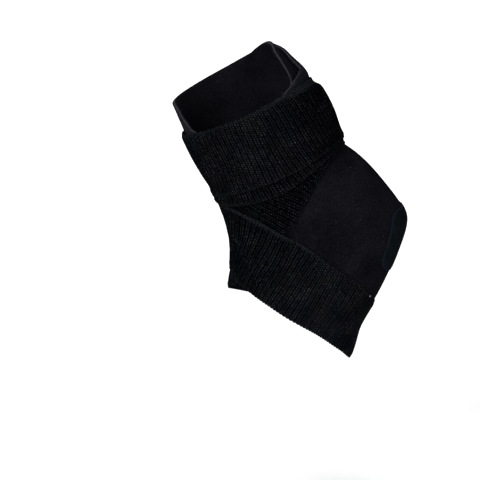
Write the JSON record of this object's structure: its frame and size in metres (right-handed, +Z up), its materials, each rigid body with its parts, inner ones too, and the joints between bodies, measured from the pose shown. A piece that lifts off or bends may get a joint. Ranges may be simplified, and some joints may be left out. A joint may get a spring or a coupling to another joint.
{
  "type": "ankle brace",
  "caption": "Neoprene heel sleeve, open at leg and foot and closed at the back by an inner flap, with a long ribbed elastic strap wound round ankle and foot in a figure of eight, and a rubber heel patch.",
  "frame": {"origin": "the middle of the ankle inside the sleeve, where the wearer's ankle sits", "axes": "+Z up, +X towards the heel, -Y the outer side of a left ankle; the leg leans back as in the picture, heel lifted and toes down"},
  "size_m": [0.1643, 0.0898, 0.223],
  "materials": {
    "neoprene": "smooth knit-faced foam rubber, matte",
    "ribbed_elastic": "ribbed loop-pile elastic, matte",
    "hook_tape": "fine hooks, matte",
    "patch_rubber": "moulded rubber, satin"
  },
  "bodies": {
    "root": {"heel_sleeve": "neoprene", "inner_flap": "neoprene", "elastic_strap": "ribbed_elastic", "hook_tab": "hook_tape", "heel_patch": "patch_rubber"}
  },
  "joints": []
}
